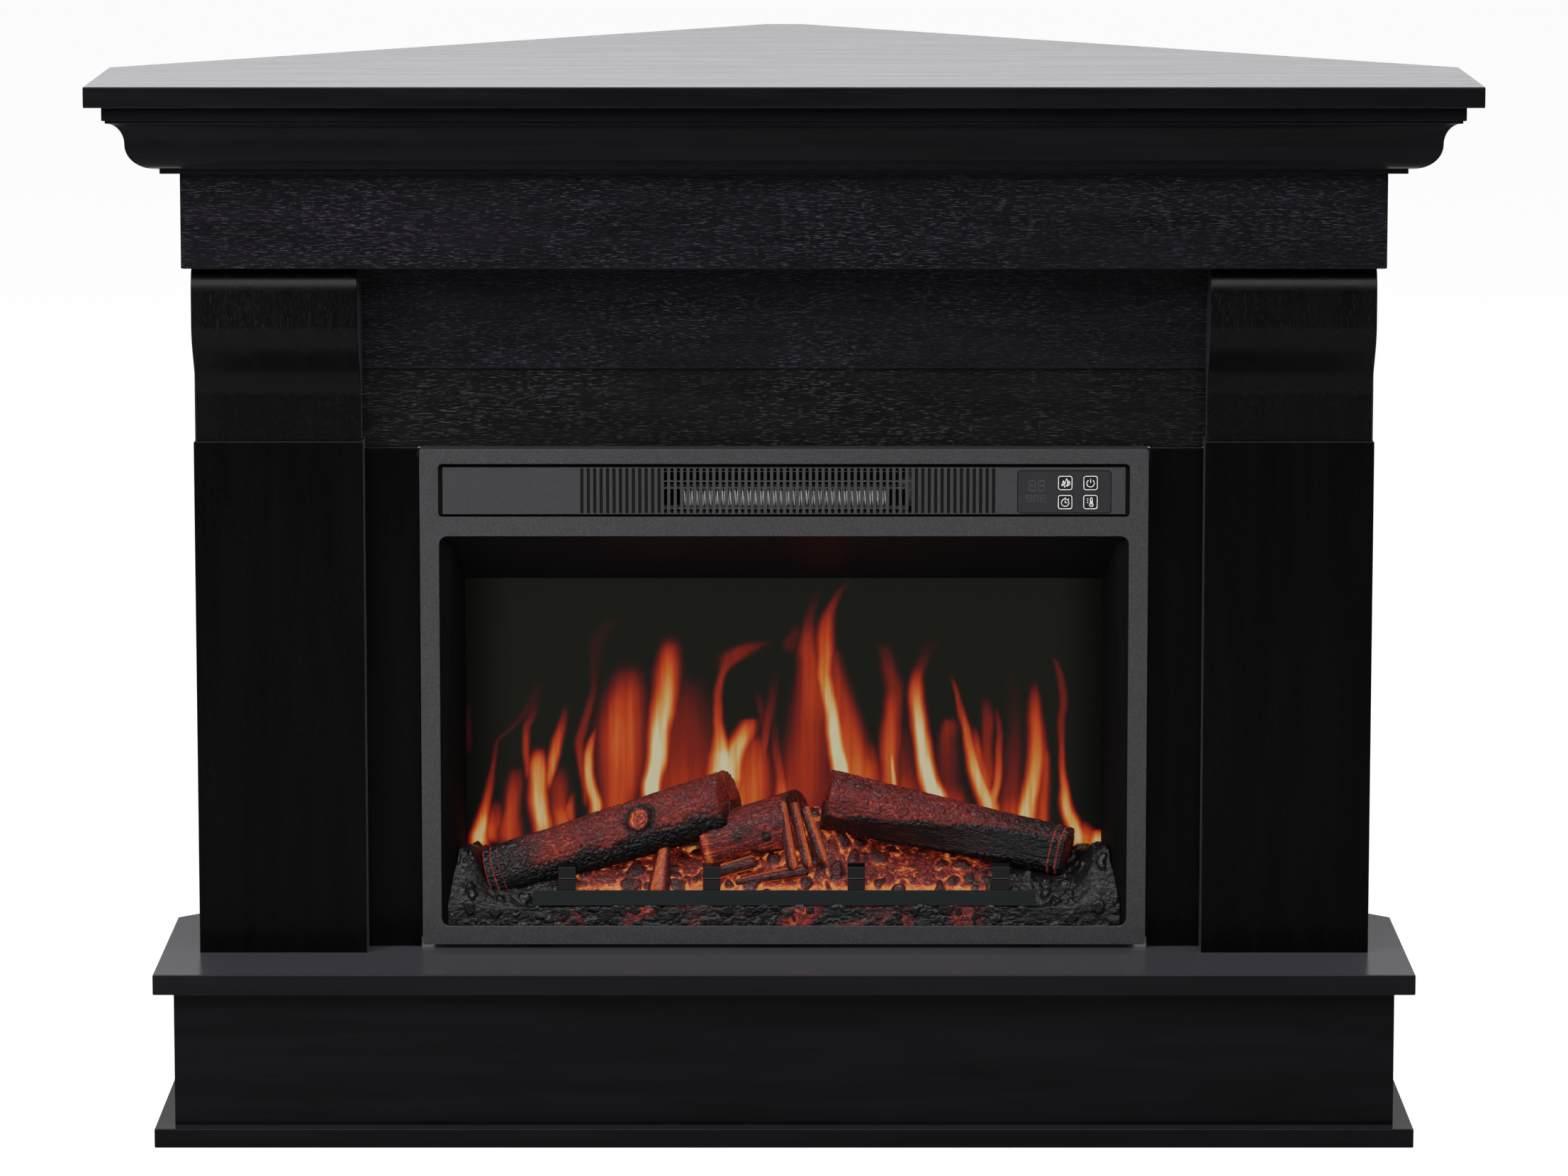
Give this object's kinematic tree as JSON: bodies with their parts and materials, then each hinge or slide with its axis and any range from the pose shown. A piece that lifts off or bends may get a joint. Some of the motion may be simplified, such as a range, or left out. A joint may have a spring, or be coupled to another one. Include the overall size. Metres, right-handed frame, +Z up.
{
  "type": "corner fireplace",
  "caption": "Five-sided wooden corner mantel with crown moulding, columns and raised hearth, holding an electric log-effect insert with heater grille and push buttons.",
  "frame": {"origin": "on the floor, at the middle of the overall width and depth", "axes": "+X to the right seen from the front, +Y back into the corner of the room, +Z up"},
  "size_m": [1.268, 0.864, 0.986],
  "materials": {
    "black_wood": "satin black-brown open-pore stain",
    "zinc": "bright zinc",
    "textured_metal": "fine-textured dark grey powder coat",
    "fascia_plastic": "matt dark grey",
    "gloss_black": "satin black",
    "key_white": "black key with a white printed frame",
    "circuit_board": "solder mask",
    "black_sheet": "black powder coat",
    "liner_black": "matt blue-black heatproof paint",
    "screen_film": "matt diffusing film",
    "ember_resin": "painted translucent resin",
    "log_resin": "painted resin bark",
    "grate_grey": "matt grey paint",
    "grate_black": "black paint",
    "heating_wire": "bright resistance wire",
    "mica": "mica board",
    "zinc_sheet": "galvanised sheet",
    "light_metal": "bright aluminium",
    "motor_steel": "laminated steel",
    "lamp_board": "white circuit board",
    "black_rubber": "matt black"
  },
  "bodies": {
    "root": {"top_board": "black_wood", "sub_top": "black_wood", "cornice_front": "black_wood", "cornice_left_return": "black_wood", "cornice_right_return": "black_wood", "frieze_front": "black_wood", "frieze_left_return": "black_wood", "frieze_right_return": "black_wood", "frieze_soffit": "black_wood", "upper_header": "black_wood", "lintel": "black_wood", "left_bracket": "black_wood", "right_bracket": "black_wood", "left_column": "black_wood", "right_column": "black_wood", "left_stile": "black_wood", "right_stile": "black_wood", "left_side_panel": "black_wood", "right_side_panel": "black_wood", "rear_post": "black_wood", "upper_left_rail": "black_wood", "upper_right_rail": "black_wood", "hearth_board": "black_wood", "plinth_front": "black_wood", "plinth_left_return": "black_wood", "plinth_right_return": "black_wood", "plinth_left_rail": "black_wood", "plinth_right_rail": "black_wood", "base_board": "black_wood", "mantel_screws": "zinc", "bezel": "textured_metal", "control_fascia": "fascia_plastic", "control_window": "gloss_black", "control_board": "circuit_board", "firebox_shell": "black_sheet", "rear_cover": "black_sheet", "valance": "liner_black", "left_cheek": "liner_black", "right_cheek": "liner_black", "flame_screen": "screen_film", "ember_bed": "ember_resin", "left_log": "log_resin", "right_log": "log_resin", "grate_rail": "grate_grey", "grate_clips": "grate_black", "heater_coil": "heating_wire", "heater_frame": "mica", "blower_housing": "zinc_sheet", "blower_motor": "motor_steel", "flicker_motor": "motor_steel", "led_strips": "lamp_board", "cord_gland": "black_rubber", "insert_brackets": "zinc", "insert_screws": "zinc"},
    "blower_wheel": {"blower_wheel": "light_metal"},
    "flicker_rod": {"flicker_rod": "light_metal"},
    "flame_button": {"flame_button": "key_white"},
    "power_button": {"power_button": "key_white"},
    "timer_button": {"timer_button": "key_white"},
    "temperature_button": {"temperature_button": "key_white"}
  },
  "joints": [
    {"name": "blower_spin", "type": "hinge", "parent": "root", "child": "blower_wheel", "pos_m": [0.0015, -0.226, 0.60225], "axis": [1, 0, 0], "continuous": true},
    {"name": "flicker_spin", "type": "hinge", "parent": "root", "child": "flicker_rod", "pos_m": [0, -0.144, 0.2355], "axis": [1, 0, 0], "continuous": true},
    {"name": "flame_button_press", "type": "slide", "parent": "root", "child": "flame_button", "axis": [0, 1, 0], "range_m": [0, 0.0005], "stiffness_N_per_m": 600, "springref_m": -0.0005},
    {"name": "power_button_press", "type": "slide", "parent": "root", "child": "power_button", "axis": [0, 1, 0], "range_m": [0, 0.0005], "stiffness_N_per_m": 600, "springref_m": -0.0005},
    {"name": "timer_button_press", "type": "slide", "parent": "root", "child": "timer_button", "axis": [0, 1, 0], "range_m": [0, 0.0005], "stiffness_N_per_m": 600, "springref_m": -0.0005},
    {"name": "temperature_button_press", "type": "slide", "parent": "root", "child": "temperature_button", "axis": [0, 1, 0], "range_m": [0, 0.0005], "stiffness_N_per_m": 600, "springref_m": -0.0005}
  ]
}
